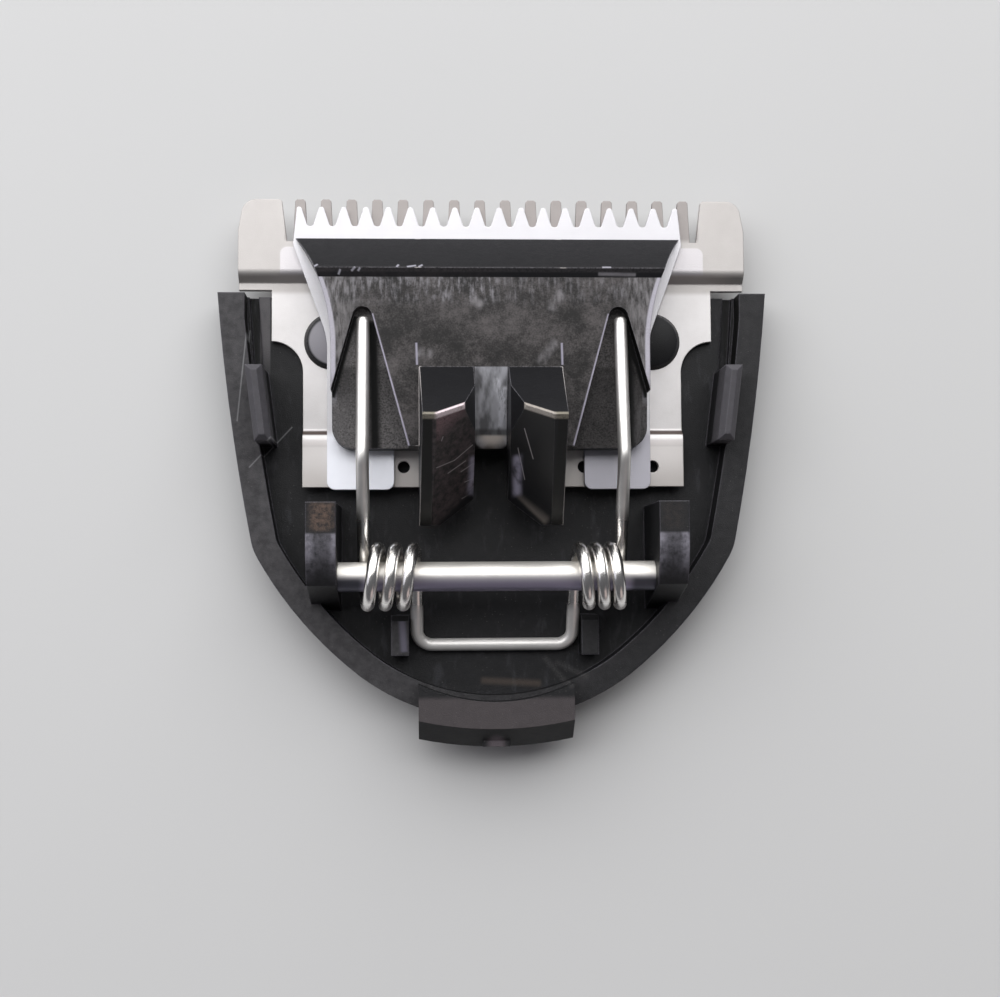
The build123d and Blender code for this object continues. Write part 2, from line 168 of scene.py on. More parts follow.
class Field:
    """A value that varies over a surface. Arithmetic on it adds the nodes that work it out."""

    def __init__(self, finish, socket):
        self.finish = finish
        self.socket = socket

    def __add__(self, other):
        return self.finish.math("ADD", self, other)

    def __radd__(self, other):
        return self.finish.math("ADD", other, self)

    def __sub__(self, other):
        return self.finish.math("SUBTRACT", self, other)

    def __rsub__(self, other):
        return self.finish.math("SUBTRACT", other, self)

    def __mul__(self, other):
        return self.finish.math("MULTIPLY", self, other)

    def __rmul__(self, other):
        return self.finish.math("MULTIPLY", other, self)

    def __truediv__(self, other):
        return self.finish.math("DIVIDE", self, other)

    def __pow__(self, other):
        return self.finish.math("POWER", self, other)

    def __abs__(self):
        return self.finish.math("ABSOLUTE", self)


class Finish:
    """One procedural material, with its patterns measured in millimetres on the piece."""

    def __init__(self, name):
        self.material = bpy.data.materials.new(name)
        self.material.use_nodes = True
        self.tree = self.material.node_tree
        self.shader = self.tree.nodes["Principled BSDF"]
        spot = self.node("ShaderNodeTexCoord", output="Object")
        self.spot = self.node("ShaderNodeVectorMath", {"operation": "SCALE"}, {0: spot, "Scale": 1 / MM})
        self.normal = self.node("ShaderNodeNewGeometry", output="Normal")
        self.x, self.y, self.z = self.split(self.spot)
        self.forward, self.up = self.split(self.normal)[1:]
        self.colour = None

    def node(self, kind, settings=None, sockets=None, output=0):
        made = self.tree.nodes.new(kind)
        for name, value in (settings or {}).items():
            setattr(made, name, value)
        for name, value in (sockets or {}).items():
            self.plug(made.inputs[name], value)
        return Field(self, made.outputs[output])

    def plug(self, socket, value):
        if isinstance(value, Field):
            self.tree.links.new(value.socket, socket)
        else:
            socket.default_value = value

    def set(self, **sockets):
        for name, value in sockets.items():
            self.plug(self.shader.inputs[name.replace("_", " ")], value)

    def math(self, operation, *values):
        return self.node("ShaderNodeMath", {"operation": operation}, dict(enumerate(values)))

    def split(self, vector):
        made = self.node("ShaderNodeSeparateXYZ", sockets={0: vector}).socket.node
        return [Field(self, socket) for socket in made.outputs]

    def rise(self, value, low, high):
        """0 below low, 1 above high, and smooth between them. Low may be the larger."""
        return self.node("ShaderNodeMapRange", {"interpolation_type": "SMOOTHSTEP"},
                         {"Value": value, "From Min": low, "From Max": high})

    def mix(self, share, first, second):
        return self.node("ShaderNodeMix", {"data_type": "RGBA"}, {0: share, 6: first, 7: second}, output=2)

    def paint(self, share, colour):
        """Lays a colour over what has been painted so far."""
        self.colour = self.mix(share, self.colour, colour)

    def turned(self, scale, turn=0.0):
        """Pattern coordinates stretched by a scale along each axis, turned in plan first."""
        return self.node("ShaderNodeMapping", sockets={
            "Vector": self.spot, "Rotation": (0, 0, math.radians(turn)), "Scale": scale})

    def noise(self, scale, detail=3.0, rough=0.5, spot=None):
        return self.node("ShaderNodeTexNoise", sockets={
            "Vector": spot or self.spot, "Scale": scale, "Detail": detail, "Roughness": rough})

    def specks(self, scale, size):
        """Scattered dots: 1 in the middle of a dot, 0 outside."""
        far = self.node("ShaderNodeTexVoronoi", sockets={"Vector": self.spot, "Scale": scale})
        return self.rise(far, size, size / 2)

    def inside(self, value, middle, half, soft):
        """1 where value is within half of middle, fading over soft."""
        return self.rise(abs(value - middle), half + soft, half)

    def away(self, x, y, across=None):
        """Distance in plan from a place."""
        over = (across or self.x) - x
        along = self.y - y
        return (over * over + along * along) ** 0.5

    def line(self, start, end, half, soft=None, across=None):
        """1 on a straight stroke between two places in plan, 0 away from it."""
        run = Vector(end) - Vector(start)
        along = run.normalized()
        over = (across or self.x) - start[0]
        ahead = self.y - start[1]
        aside = abs(over * -along.y + ahead * along.x)
        forth = over * along.x + ahead * along.y
        soft = soft or half
        return self.rise(aside, half + soft, half / 3) * self.inside(forth, run.length / 2, run.length / 2, soft)

    def strokes(self, marks, half, soft=None):
        """Several strokes at once, each from one place to another in plan."""
        total = 0.0
        for start, end in marks:
            total = total + self.line(start, end, half, soft)
        return total

    def round_edges(self, radius):
        """Normal with edges eased by a radius in millimetres."""
        return self.node("ShaderNodeBevel", {"samples": EASE_SAMPLES}, {"Radius": radius * MM})

    def edge_mask(self, eased):
        """1 on an edge, 0 on a face, from how far an eased normal leaves the true one."""
        leaning = self.node("ShaderNodeVectorMath", {"operation": "DOT_PRODUCT"}, {0: eased, 1: self.normal},
                            output=1)
        return self.rise(leaning, 0.99, 0.88)

    def bump(self, height, depth, normal):
        """Normal roughened by a height of 0 to 1, over a depth in millimetres."""
        return self.node("ShaderNodeBump", sockets={
            "Strength": 1.0, "Distance": depth * MM, "Height": height, "Normal": normal})


class HousingFinish(Finish):
    """Finish of the tray, with the fields that several of its faces and marks share."""

    def __init__(self):
        super().__init__("housing_plastic")
        self.cloud = self.noise(0.4, 4, 0.6)
        self.patch = self.noise(1.7, 5, 0.65)
        self.grain = self.noise(13.0, 3, 0.6)
        self.level = self.rise(self.up, 0.9, 0.99)
        self.left = self.rise(self.x, 9.0, -15.0)
        self.floor = self.level * self.rise(self.z, 1.6, 1.4)
        self.post = self.rise(self.z, 6.4, 7.2) * self.rise(self.up, 0.5, 0.8)
        self.post_aside = abs(abs(self.x) - POST_X)
        # Post slopes, where painted sheen goes, paler towards their sides
        self.slope = (self.post * self.rise(self.y, -4.1, -4.3) * self.rise(self.y, -7.4, -4.4)
                      * (0.4 + 0.6 * self.rise(self.post_aside, 0.3, 0.8)))
        self.stake_r = self.away(STAKE_X, STAKE_Y, abs(self.x))
        self.stake = self.rise(self.z, 1.7, 1.76) * self.rise(self.stake_r, STAKE_R + 0.12, STAKE_R + 0.02)
        self.colour = self.mix(self.patch, rgb(0.006, 0.006, 0.007), rgb(0.014, 0.014, 0.016))

    def paint_faces(self):
        """Rim with painted sheen, strongest on the left; lugs; painted sheen on the floor's front corner; painted
        shade in the channels beside it; and the latch tab, with painted shade on its rear faces.
        """
        x, y, z = self.x, self.y, self.z
        rim = self.level * self.inside(z, RIM_Z, 0.1, 0.1) * (0.35 + 0.65 * self.rise(self.patch, 0.25, 0.75))
        lug = self.rise(z, 3.1, 3.3) * self.rise(abs(x), 13.0, 13.3)
        corner = self.floor * self.rise(y, 5.5, 8.5) * self.inside(-1.0 * x, 14.55, 0.3, 0.1)
        channel_shade = self.inside(abs(x), CHANNEL_X, 0.35, 0.1) * self.rise(y, 6.2, 6.4) * self.rise(z, 2.95, 2.85)
        tab = self.level * self.rise(z, 4.3, 4.5) * self.rise(y, -14.0, -14.4)
        tab_rear_shade = self.rise(self.forward, -0.3, -0.6) * self.rise(y, -15.5, -16.0)
        # Painted sheen: the rim is painted grey in patches, most on the left
        self.paint(rim * (0.2 + 0.8 * self.left), rgb(0.066, 0.063, 0.067))
        self.paint(lug * (0.5 + 0.5 * self.patch), rgb(0.08, 0.076, 0.086))
        # Painted sheen on the floor's front left corner
        self.paint(corner, rgb(0.11, 0.104, 0.11))
        # Painted shade: the channels beside the floor are painted near black
        self.paint(channel_shade, rgb(0.002, 0.002, 0.002))
        self.paint(tab * (0.6 + 0.4 * self.patch), rgb(0.072, 0.062, 0.065))
        # Painted shade on the tab's rear-facing faces
        self.paint(tab_rear_shade, rgb(0.004, 0.004, 0.005))

    def paint_wear_and_sheen(self, edge):
        """Smears on the floor, painted sheen on the post slopes, a painted highlight on the left stake head, and
        pale edges that are partly wear and partly painted highlight.
        """
        streak = self.noise(1.0, 4, 0.65, self.turned((6.0, 1.2, 1.0)))
        smears = self.rise(self.noise(1.0, 4, 0.6, self.turned((1.6, 0.5, 1.0), 30)), 0.52, 0.75) * self.floor
        crown_highlight = self.stake * self.rise(self.stake_r, 1.58, 1.4)
        self.paint(smears * 0.5, rgb(0.045, 0.045, 0.052))
        # Painted sheen on the post slopes
        self.paint(self.slope * self.rise(self.patch + 0.4 * streak, 0.35, 0.9), rgb(0.24, 0.23, 0.27))
        # Painted highlight on the left stake head's crown
        self.paint(crown_highlight * self.left, rgb(0.34, 0.33, 0.36))
        # Pale edges, partly wear and partly painted highlight
        self.paint(edge * self.rise(self.grain, 0.35, 0.65) * 0.6, rgb(0.16, 0.15, 0.18))

    def paint_dirt_and_highlight(self):
        """Dust, hair lines, crumbs on the posts, scratches, a painted highlight on a rib's side and the trimmed
        gate.
        """
        dust = self.specks(4.0, 0.13) * self.rise(self.cloud, 0.42, 0.62) * self.level
        hairs = self.strokes(RIM_HAIRS, 0.035)
        crumbs = (self.post * self.inside(self.y, -3.2, 0.6, 0.4) * self.rise(self.post_aside, 1.0, 0.3)
                  * self.rise(self.noise(3.4, 5, 0.75), 0.3, 0.7))
        grime = self.line(*TAB_GRIME, 0.06, 0.3) * (0.5 + 0.5 * self.grain)
        scratches = self.strokes(FLOOR_SCRATCHES, 0.05, 0.25) * self.rise(self.grain, 0.3, 0.7)
        rib_highlight = self.line(*RIB_HIGHLIGHT, 0.14, 0.2) * self.level * self.rise(self.z, 2.4, 2.6)
        gate = self.rise(self.away(*GATE), 0.8, 0.2) * self.rise(self.z, 2.6, 2.9)
        self.paint(dust * 0.4, rgb(0.2, 0.19, 0.18))
        self.paint(hairs * 0.45, rgb(0.3, 0.3, 0.31))
        self.paint(crumbs * (0.08 + 0.75 * self.left), rgb(0.15, 0.095, 0.07))
        self.paint(grime * 0.6, rgb(0.10, 0.075, 0.06))
        self.paint(scratches * 0.3, rgb(0.14, 0.135, 0.135))
        # Painted highlight on the left rib's inner side
        self.paint(rib_highlight * 0.7, rgb(0.16, 0.15, 0.2))
        self.paint(gate * (0.4 + 0.6 * self.grain), rgb(0.15, 0.125, 0.14))


def housing_plastic():
    """Black satin moulding, greyer where it is rubbed and where sheen and highlights are painted, with painted
    shade in its channels and behind its tab, and dust and two hair lines on the left.
    """
    finish = HousingFinish()
    by_tab = finish.rise(finish.y, -12.4, -13.2)
    eased = finish.round_edges(HOUSING_EASE - (HOUSING_EASE - TAB_EASE) * by_tab)
    finish.paint_faces()
    finish.paint_wear_and_sheen(finish.edge_mask(eased) * (1.0 - by_tab))
    finish.paint_dirt_and_highlight()
    dome = finish.stake * (1.0 - finish.stake_r * finish.stake_r / STAKE_R ** 2)
    relief = finish.bump(finish.grain + 0.8 * finish.patch, 0.02, eased)
    finish.set(Base_Color=finish.colour, Specular_IOR_Level=0.32,
               Roughness=0.40 + 0.16 * finish.cloud + 0.1 * finish.grain - 0.12 * finish.slope,
               Normal=finish.bump(dome, STAKE_CROWN, relief))
    return finish.material


class CarrierFinish(Finish):
    """Finish of the drive carrier, with the fields that several of its faces and marks share."""

    def __init__(self):
        super().__init__("carrier_plastic")
        self.across = abs(self.x - CUTTER_MID)
        self.cloud = self.noise(0.55, 4, 0.6)
        self.mottle = self.noise(2.4, 6, 0.75)
        self.fine = self.noise(9.0, 4, 0.65)
        self.streak = self.noise(1.0, 4, 0.6, self.turned((4.2, 0.9, 1.0)))
        self.slant = self.noise(1.0, 3, 0.5, self.turned((1.8, 0.5, 1.0), 24))
        self.left = self.rise(self.x, 0.5, -0.5)
        self.level = self.rise(self.up, 0.95, 0.99)
        self.colour = self.mix(self.cloud, rgb(0.007, 0.007, 0.008), rgb(0.013, 0.013, 0.015))

    def paint_top(self):
        """Mottled top, partly scuffed and partly painted sheen: paler pockets, partly painted light and most on
        the left, paler flanks, flow streaks behind the lip, rubbed places by the fork and painted highlights at
        the prongs' roots.
        """
        top = self.level * self.rise(self.z, 3.9, 4.1) * self.rise(self.z, 6.3, 6.1)
        wear_and_sheen = self.rise(0.7 * self.mottle + 0.6 * self.fine + 0.9 * self.cloud, 0.9, 1.45)
        pocket = top * self.rise(self.z, 5.9, 5.8) * self.rise(self.fine, 0.2, 0.75)
        flank = top * self.rise(self.across, 7.6, 9.2) * self.rise(self.streak, 0.3, 0.7)
        flow = top * self.inside(self.y, 11.0, 0.5, 0.8) * self.rise(self.streak + 0.4 * self.mottle, 0.62, 1.0)
        smudge = top * self.strokes(TOP_SMUDGES, 0.1, 0.35) * self.rise(self.slant + 0.3 * self.mottle, 0.4, 0.9)
        root_highlight = top * self.strokes(PRONG_ROOT_HIGHLIGHTS, 0.045, 0.06) * (0.4 + 0.6 * self.streak)
        # Scuffed top, partly painted sheen
        self.paint(top, self.mix(wear_and_sheen, rgb(0.007, 0.006, 0.006), rgb(0.098, 0.088, 0.088)))
        # Paler pocket floors, partly their own grey and partly painted light, most on the left
        self.paint(pocket * (0.3 + 0.65 * self.left), rgb(0.42, 0.40, 0.40))
        self.paint(flank * 0.8, rgb(0.21, 0.2, 0.205))
        self.paint(flow * (0.5 + 0.5 * self.left), rgb(0.25, 0.24, 0.26))
        self.paint(smudge * 0.6, rgb(0.30, 0.285, 0.30))
        # Painted highlights along the prongs' outer edges at their roots
        self.paint(root_highlight, rgb(0.44, 0.42, 0.52))

    def paint_lip(self):
        """Raised lip along the front bevel's crest, with dabs of dried lubricant."""
        lip = self.rise(self.z, 6.04, 6.14) * self.rise(self.y, 11.8, 11.95)
        rubbed = self.line(*LIP_RUB, 0.05, 0.12)
        dabs = self.strokes(LIP_DABS, 0.045, 0.06) * (0.5 + 0.5 * self.fine)
        self.paint(lip * self.rise(self.fine, 0.3, 0.6), rgb(0.03, 0.028, 0.03))
        self.paint(rubbed * (0.3 + 0.5 * self.mottle), rgb(0.26, 0.25, 0.27))
        self.paint(dabs * 0.8, rgb(0.5, 0.49, 0.56))

    def paint_fork(self):
        """Rear faces of the prongs: brown on the left, painted shade on the outer facets, scratches and rubbed
        corners.
        """
        rear = self.rise(self.forward, -0.3, -0.6) * self.rise(self.z, 4.4, 4.8)
        blush = rear * self.left * self.rise(self.z, 9.8, 11.2) * self.inside(self.across, 2.5, 0.8, 0.2)
        facet_shade = (self.rise(self.across, 3.55, 3.7) * self.rise(self.forward, 0.0, -0.2)
                 * self.rise(self.y, 6.4, 6.0))
        hairs = self.strokes(PRONG_HAIRS, 0.018) * rear
        scuffs = self.strokes(SLOT_SCUFFS, 0.06, 0.35) * self.rise(self.slant + 0.3 * self.mottle, 0.3, 0.75)
        self.paint(rear * self.left * self.rise(self.mottle, 0.3, 0.7), rgb(0.085, 0.068, 0.07))
        self.paint(blush * self.rise(self.fine, 0.3, 0.6), rgb(0.20, 0.12, 0.135))
        self.paint(self.line(*PRONG_RUB, 0.2, 0.4) * rear * 0.8, rgb(0.17, 0.15, 0.135))
        # Painted shade: the prongs' outer facets are painted near black
        self.paint(facet_shade, rgb(0.004, 0.004, 0.004))
        self.paint(hairs * 0.7, rgb(0.42, 0.39, 0.40))
        self.paint(scuffs * 0.8, rgb(0.42, 0.40, 0.51))

    def paint_slot(self):
        """Floor of the drive slot, polished in runs by the drive pin, with a painted shadow across it, a painted
        highlight on its rounded end and painted shade round that end.
        """
        slot = (self.rise(self.across, 1.04, 0.98) * self.rise(self.y, 6.1, 6.0) * self.rise(self.y, 0.9, 1.2)
                * self.rise(self.up, 0.1, 0.4))
        scratch = self.noise(1.0, 5, 0.7, self.turned((7.0, 1.6, 2.0), -20))
        runs = self.line(*SLOT_BROAD_RUN, 0.1, 0.3) + self.line(*SLOT_FINE_RUN, 0.08, 0.2)
        # Painted shadow across the slot floor
        shadow = self.inside(self.y, 2.15, 0.1, 0.25)
        # Painted highlight on the slot floor's rounded end, and painted shade round it
        end = self.rise(self.away(*SLOT_END_HIGHLIGHT), 1.2, 0.3) * self.rise(self.y, 2.1, 1.9)
        end_shade = self.rise(self.away(*SLOT_RIM_SHADE), 1.15, 1.35) * self.rise(self.y, 2.0, 1.7)
        polish_and_light = self.mix(self.rise(self.slant, 0.35, 0.65), rgb(0.17, 0.17, 0.18), rgb(0.50, 0.50, 0.54))
        polish_and_light = self.mix(runs * self.rise(scratch, 0.3, 0.6), polish_and_light, rgb(0.72, 0.72, 0.78))
        polish_and_light = self.mix(shadow * 0.7, polish_and_light, rgb(0.05, 0.05, 0.05))
        polish_and_light = self.mix(end, polish_and_light, rgb(0.75, 0.68, 0.63))
        polish_and_light = self.mix(end_shade, polish_and_light, rgb(0.02, 0.02, 0.02))
        self.paint(slot, polish_and_light)

    def paint_edges(self, edge):
        """Painted highlights on the flared sides, the pockets' inner walls and the prongs' sides and ridges, pale
        edges that are partly wear and partly painted highlight, and painted shadows beside the arms and along the
        pockets' outer walls.
        """
        ahead = self.math("MAXIMUM", self.y - FLARE_START, 0.0)
        side = CARRIER_HALF + FLARE_R - (FLARE_R ** 2 - ahead * ahead) ** 0.5
        side_highlight = self.inside(side - self.across, 0.14, 0.1, 0.12) * self.level * self.rise(self.y, 3.5, 6.0)
        pocket_in_highlight = self.line(*POCKET_IN_HIGHLIGHT, 0.06, 0.06, self.across) * self.rise(self.z, 5.6, 5.8)
        pocket_out_shade = self.line(*POCKET_OUT_SHADE, 0.16, 0.1, self.across)
        pocket_shadows = (pocket_out_shade + self.strokes(ARM_SHADOWS, 0.3, 0.25)) * self.rise(self.z, 5.95, 5.85)
        prong_side_highlight = self.rise(self.across, 4.2, 4.35) * self.rise(self.across, 4.7, 4.6)
        crest = RIDGE_Z - RIDGE_FALL * self.math("MAXIMUM", RIDGE_BREAK - self.across, 0.0)
        ridge = self.rise(self.z - crest, -0.34, -0.2) * self.rise(self.z, 9.0, 9.5)
        shine = self.mix(self.left, rgb(0.40, 0.365, 0.33), rgb(0.78, 0.66, 0.69))
        shine = self.mix(self.rise(self.across, 3.3, 3.6), shine, rgb(0.24, 0.22, 0.18))
        # Painted highlight along the flared sides
        self.paint(side_highlight * (0.6 + 0.4 * self.fine), rgb(0.52, 0.50, 0.57))
        # Painted highlight on each pocket's inner wall
        self.paint(pocket_in_highlight * (0.4 + 0.6 * self.streak), rgb(0.55, 0.52, 0.64))
        # Painted shadows beside the arms and along the pockets' outer walls
        self.paint(pocket_shadows, rgb(0.004, 0.004, 0.004))
        # Pale edges, partly wear and partly painted highlight
        self.paint(edge * self.rise(self.fine, 0.35, 0.6) * 0.7, rgb(0.22, 0.215, 0.235))
        # Painted highlight along the prongs' outer sides
        self.paint(self.rise(edge, 0.05, 0.4) * prong_side_highlight, rgb(0.5, 0.47, 0.46))
        # Painted highlight on the prongs' ridges
        self.paint(ridge * self.rise(self.fine + 0.4 * self.mottle, 0.3, 0.75), shine)


def carrier_plastic():
    """Black moulding with a mottled top that is partly scuffed and partly painted sheen, flow streaks behind its
    lip, a rubbed fork and slot, and painted highlights and shade on its edges, pockets, prongs and slot.
    """
    finish = CarrierFinish()
    eased = finish.round_edges(CARRIER_EASE)
    finish.paint_top()
    finish.paint_lip()
    finish.paint_fork()
    finish.paint_slot()
    finish.paint_edges(finish.edge_mask(eased))
    front_bevel = finish.rise(finish.forward, 0.35, 0.55)
    finish.set(Base_Color=finish.colour, Specular_IOR_Level=0.1,
               Roughness=0.46 + 0.14 * finish.mottle + 0.1 * finish.fine,
               Coat_Weight=0.5 * (1.0 - front_bevel), Coat_Roughness=0.3,
               Normal=finish.bump(finish.mottle + 0.5 * finish.fine, 0.02, eased))
    return finish.material


def comb_steel():
    """Stamped sheet, matt and slightly warm, with darker teeth, a lighter track ground for the cutter, painted
    shade and a painted highlight on its rear bend, and painted highlights along its cut-out edges.
    """
    finish = Finish("comb_steel")
    x, y = finish.x, finish.y
    eased = finish.round_edges(COMB_EASE)
    cloud = finish.noise(0.7, 4, 0.6)
    grain = finish.noise(14.0, 3, 0.6)
    lines = finish.noise(1.0, 2, 0.5, finish.turned((0.4, 22.0, 1.0)))
    teeth = finish.rise(y, 14.5, 14.9) * finish.rise(abs(x), 13.3, 13.1)
    middle = finish.rise(y, 11.6, 11.2) * finish.rise(y, 1.6, 1.9)
    rear_tone = finish.mix(finish.rise(y, 1.2, -1.1), rgb(0.78, 0.75, 0.735), rgb(0.58, 0.55, 0.53))
    edge_highlight_tone = finish.mix(middle, rgb(0.30, 0.28, 0.27), rgb(0.98, 0.97, 0.94))
    out = finish.math("MAXIMUM", abs(x) - (TRACK_HALF - TRACK_ROUND), 0.0)
    ahead = finish.math("MAXIMUM", y - (TRACK_FRONT - TRACK_ROUND), 0.0)
    corner = (out * out + ahead * ahead) ** 0.5
    track = finish.rise(corner, TRACK_ROUND + 0.05, TRACK_ROUND - 0.05) * finish.rise(y, 12.4, 12.6)
    finish.colour = finish.mix(cloud, rgb(0.55, 0.525, 0.51), rgb(0.63, 0.605, 0.59))
    finish.paint(middle * (0.6 + 0.4 * cloud), rgb(0.86, 0.84, 0.84))
    finish.paint(finish.rise(y, 1.7, 1.4), rear_tone)
    finish.paint(track, rgb(0.68, 0.655, 0.67))
    finish.paint(teeth * 0.8, rgb(0.36, 0.33, 0.32))
    # Painted highlight along the cut-out edges in the middle; the guards' edges are painted darker
    finish.paint(finish.edge_mask(eased) * 0.5, edge_highlight_tone)
    # Painted shade line on the rear bend's slope, and a painted highlight band behind it
    finish.paint(finish.inside(y, CREASE_Y, 0.08, 0.12), rgb(0.15, 0.12, 0.11))
    finish.paint(finish.inside(y, BEND_END_Y, 0.15, 0.15) * 0.6, rgb(0.86, 0.82, 0.81))
    finish.set(Base_Color=finish.colour, Metallic=1.0, Roughness=0.58 + 0.08 * grain - 0.08 * track,
               Normal=finish.bump(grain + 0.5 * track * lines, 0.006, eased))
    return finish.material


def cutter_steel():
    """Bright ground plate with fine lines along the tooth row, with painted light on its left leg and painted
    shade on its right, which is darker than its left.
    """
    finish = Finish("cutter_steel")
    eased = finish.round_edges(CUTTER_EASE)
    cloud = finish.noise(0.5, 3)
    lines = finish.noise(1.0, 2, 0.5, finish.turned((0.3, 30.0, 1.0)))
    leg_light_and_shade = finish.mix(finish.rise(finish.x, -2.0, 2.0), rgb(0.92, 0.93, 0.99), rgb(0.52, 0.51, 0.56))
    finish.colour = finish.mix(cloud, rgb(0.62, 0.61, 0.635), rgb(0.69, 0.68, 0.705))
    # Painted light on the left leg and painted shade on the right
    finish.paint(finish.rise(finish.y, 2.6, 2.0), leg_light_and_shade)
    finish.set(Base_Color=finish.colour, Metallic=1.0, Roughness=0.42 + 0.1 * lines,
               Normal=finish.bump(lines, 0.004, eased))
    return finish.material


def spring_wire():
    """Bright drawn wire, duller on its arms and bail than on its coils."""
    finish = Finish("spring_wire")
    cloud = finish.noise(1.2, 4)
    fine = finish.noise(12.0, 3)
    arm = finish.rise(finish.y, -3.6, -2.4)
    bail = finish.rise(finish.y, -8.3, -9.0)
    finish.set(Base_Color=finish.mix(cloud, rgb(0.86, 0.84, 0.81), rgb(0.96, 0.94, 0.92)),
               Metallic=1.0 - 0.1 * arm - 0.42 * bail,
               Roughness=0.2 + 0.1 * cloud + 0.16 * arm + 0.2 * bail,
               Normal=finish.bump(fine, 0.003, finish.normal))
    return finish.material


def pin_steel():
    """Ground rod with fine turning marks round it, with painted shade on its rear side, deepest by the posts."""
    finish = Finish("pin_steel")
    cloud = finish.noise(0.9, 4)
    rings = finish.noise(1.0, 2, 0.5, finish.turned((14.0, 0.4, 0.4)))
    post_shade = finish.rise(abs(finish.x), 7.9, 8.5) * finish.rise(finish.forward, 0.05, -0.35)
    finish.colour = finish.mix(cloud, rgb(0.86, 0.83, 0.78), rgb(0.95, 0.92, 0.87))
    # Painted shade on the rear side
    finish.paint(finish.rise(finish.forward, 0.3, -0.6), rgb(0.36, 0.335, 0.45))
    # Painted shade by the posts
    finish.paint(post_shade * 0.85, rgb(0.05, 0.055, 0.065))
    finish.set(Base_Color=finish.colour, Metallic=0.75, Roughness=0.38 + 0.12 * rings,
               Normal=finish.bump(rings, 0.004, finish.normal))
    return finish.material


def floor_paper():
    finish = Finish("floor_paper")
    cloud = finish.noise(0.02, 3)
    finish.set(Base_Color=finish.mix(cloud, rgb(0.60, 0.60, 0.60), rgb(0.63, 0.63, 0.63)), Roughness=0.8)
    return finish.material


def add_piece(name, shape, material, smooth=True):
    """Turns a bmesh into a piece of the scene."""
    mesh = bpy.data.meshes.new(name)
    shape.to_mesh(mesh)
    shape.free()
    if smooth:
        mesh.shade_smooth()
    else:
        mesh.shade_flat()
    mesh.materials.append(material)
    piece = bpy.data.objects.new(name, mesh)
    bpy.context.scene.collection.objects.link(piece)
    return piece


def only(geometry, kind):
    return [part for part in geometry if isinstance(part, kind)]


def outer_ring(made):
    """The corners and edges at the far end of an extrusion."""
    corners = only(made, bmesh.types.BMVert)
    return corners, [edge for edge in only(made, bmesh.types.BMEdge) if set(edge.verts) <= set(corners)]


def draw_on(shape, ring, move, steps):
    """Draws the open end of a tube straight on in steps, and returns the new end's edges."""
    for step in range(steps):
        corners, ring = outer_ring(bmesh.ops.extrude_edge_only(shape, edges=ring)["geom"])
        bmesh.ops.translate(shape, verts=corners, vec=move / steps)
    return ring


def bend_on(shape, ring, centre, axis, angle, steps, climb=Vector()):
    """Bends the open end of a tube round an axis, climbing along it, and returns the new end's edges."""
    corners = list(dict.fromkeys(corner for edge in ring for corner in edge.verts))
    made = bmesh.ops.spin(shape, geom=ring + corners, cent=centre, axis=axis, dvec=climb / steps, angle=angle,
                          steps=steps, use_merge=False)
    return only(made["geom_last"], bmesh.types.BMEdge)


def round_end(shape, place, heading):
    """Starts a wire with a closed, eased end, and returns the open end's edges."""
    turn = Matrix.Translation(place) @ heading.to_track_quat("Z", "X").to_matrix().to_4x4()
    end = bmesh.ops.create_circle(shape, cap_ends=True, segments=WIRE_SIDES, radius=WIRE_R - TIP_EASE, matrix=turn)
    rim = list(dict.fromkeys(edge for corner in end["verts"] for edge in corner.link_edges))
    corners, ring = outer_ring(bmesh.ops.extrude_edge_only(shape, edges=rim)["geom"])
    grow = WIRE_R / (WIRE_R - TIP_EASE)
    bmesh.ops.scale(shape, verts=corners, vec=(grow, grow, grow), space=Matrix.Translation(-place))
    bmesh.ops.translate(shape, verts=corners, vec=heading * TIP_EASE)
    return ring


def coil_tangent(axle, place):
    """Length and slope of a wire that runs from a place down to the underside of a coil."""
    across = abs(place.y - axle.y)
    up = place.z - axle.z
    run = math.sqrt(across ** 2 + up ** 2 - COIL_R ** 2)
    return run, math.atan2(up, across) + math.atan2(COIL_R, run)


def draw_arm(shape, arm, run, slope):
    """An arm from its tip over its crest to the underside of its coil."""
    rising = (ARM_CREST - ARM_TIP).normalized()
    turn = math.atan2(rising.z, -rising.y) + slope
    trim = ARM_BEND * math.tan(turn / 2)
    ring = round_end(shape, ARM_TIP + arm, rising)
    ring = draw_on(shape, ring, rising * ((ARM_CREST - ARM_TIP).length - trim - TIP_EASE), RUN_STEPS)
    below = ARM_CREST + arm - rising * trim + Vector((0, -rising.z, rising.y)) * ARM_BEND
    ring = bend_on(shape, ring, below, Vector((1, 0, 0)), turn, RUN_STEPS // 2)
    falling = Vector((0, -math.cos(slope), -math.sin(slope)))
    return draw_on(shape, ring, falling * (run - trim), RUN_STEPS)


def wind_coil(shape, ring, axle, sideways, arm_slope, leg_slope):
    """A coil round the pin, which steps sideways faster over the pin than under it."""
    half_turns = [(math.pi / 2 + arm_slope, 1.0)]
    half_turns += [(math.pi, OVER_RATE), (math.pi, 1.0)] * COIL_TURNS
    half_turns[-1] = (math.pi / 2 + leg_slope, 1.0)
    climb = sideways / sum(angle * rate for angle, rate in half_turns)
    for angle, rate in half_turns:
        steps = round(TURN_STEPS * angle / math.pi)
        ring = bend_on(shape, ring, axle, Vector((-1, 0, 0)), angle, steps, Vector((climb * angle * rate, 0, 0)))
    return ring


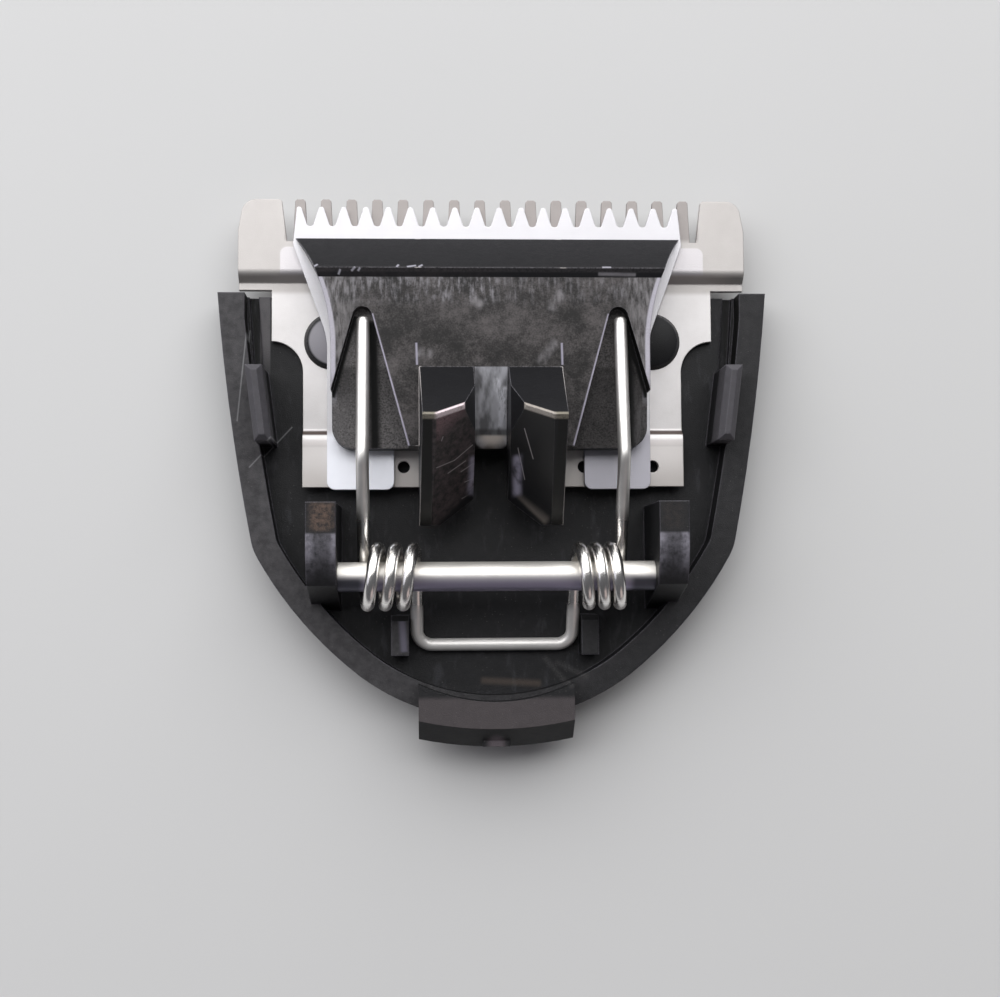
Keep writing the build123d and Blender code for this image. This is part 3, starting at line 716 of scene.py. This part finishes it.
def draw_bail(shape, ring, side, run, slope):
    """A leg from under the coil, the corner after it, and half the crossbar."""
    leg = Vector((0, -math.cos(slope), math.sin(slope)))
    inward = Vector((-side, 0, 0))
    corner = BAIL + Vector((side * COIL_IN, 0, 0)) + (inward - leg) * BAIL_ROUND
    ring = draw_on(shape, ring, leg * (run - BAIL_ROUND), RUN_STEPS // 2)
    ring = bend_on(shape, ring, corner, leg.cross(inward), math.pi / 2, RUN_STEPS // 2)
    draw_on(shape, ring, inward * (COIL_IN - BAIL_ROUND), RUN_STEPS // 2)


def half_spring(shape, side, arm_x):
    """One side of the spring: arm with its bend, coil, bail leg and half the crossbar."""
    axle = Vector((0, PIN_MID.y, PIN_MID.z + COIL_LIFT))
    arm_run, arm_slope = coil_tangent(axle, ARM_CREST)
    leg_run, leg_slope = coil_tangent(axle, BAIL)
    ring = draw_arm(shape, Vector((side * arm_x, 0, 0)), arm_run, arm_slope)
    ring = wind_coil(shape, ring, axle, side * (COIL_IN - arm_x), arm_slope, leg_slope)
    draw_bail(shape, ring, side, leg_run, leg_slope)


def wire_spring(material):
    """The whole spring as one round wire. Its right arm stands nearer the middle, with the cutter."""
    shape = bmesh.new()
    half_spring(shape, 1, ARM_RIGHT)
    half_spring(shape, -1, ARM_LEFT)
    bmesh.ops.remove_doubles(shape, verts=shape.verts, dist=WIRE_R / 100)
    bmesh.ops.recalc_face_normals(shape, faces=shape.faces)
    return add_piece("wire_spring", shape, material)


def toothed_cutter(material):
    """Copy of the cutter's solid, with the upright edges of its tooth row rounded."""
    shape = bmesh.new()
    shape.from_mesh(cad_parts["cutter"].data)
    bmesh.ops.remove_doubles(shape, verts=shape.verts, dist=TOOTH_EASE / 100)
    bmesh.ops.dissolve_limit(shape, angle_limit=math.radians(1), verts=shape.verts, edges=shape.edges)
    upright = []
    for edge in shape.edges:
        run = edge.verts[1].co - edge.verts[0].co
        if abs(run.z) > 0.99 * run.length and edge.verts[0].co.y > TOOTH_VALLEY:
            upright.append(edge)
    bmesh.ops.bevel(shape, geom=upright, offset=TOOTH_EASE, offset_type="OFFSET", segments=TOOTH_STEPS,
                    profile=0.5, affect="EDGES", material=-1, clamp_overlap=True)
    return add_piece("toothed_cutter", shape, material, smooth=False)


def dress_solids():
    finishes = {
        "housing": housing_plastic(),
        "fixed_blade": comb_steel(),
        "drive_carrier": carrier_plastic(),
        "spring_pin": pin_steel(),
    }
    for name, material in finishes.items():
        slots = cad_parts[name].data.materials
        slots.clear()
        slots.append(material)


def fit_cutter():
    plate = toothed_cutter(cutter_steel())
    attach(plate, "cutter_unit")
    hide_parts("cutter")


def fit_spring():
    spring = wire_spring(spring_wire())
    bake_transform(spring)
    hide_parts("torsion_spring")


def lay_floor():
    shape = bmesh.new()
    bmesh.ops.create_grid(shape, x_segments=1, y_segments=1, size=FLOOR_HALF)
    floor = add_piece("floor", shape, floor_paper())


def soft_box(name, place, size, power, colour):
    """A rectangular soft light that faces the part."""
    light = bpy.data.lights.new(name, "AREA")
    light.shape = "RECTANGLE"
    light.size, light.size_y = size
    light.energy = power
    light.color = colour
    box = bpy.data.objects.new(name, light)
    box.location = place
    box.rotation_euler = (-place).to_track_quat("-Z", "Y").to_euler()
    bpy.context.scene.collection.objects.link(box)


def set_light():
    for box in SOFT_BOXES:
        soft_box(*box)
    world = bpy.data.worlds.new("studio")
    world.use_nodes = True
    surround = world.node_tree.nodes["Background"].inputs
    surround["Color"].default_value = STUDIO_TINT
    surround["Strength"].default_value = STUDIO_STRENGTH
    bpy.context.scene.world = world
    bpy.context.scene.view_settings.view_transform = "Standard"


def set_camera():
    data = bpy.data.cameras.new("camera")
    data.lens = LENS
    data.sensor_width = SENSOR
    data.clip_start = NEAR_CLIP
    data.clip_end = FAR_CLIP
    camera = bpy.data.objects.new("camera", data)
    camera.location = CAMERA_AT
    camera.rotation_euler = CAMERA_TURN
    bpy.context.scene.collection.objects.link(camera)
    bpy.context.scene.camera = camera


dress_solids()
fit_cutter()
fit_spring()
lay_floor()
set_light()
set_camera()
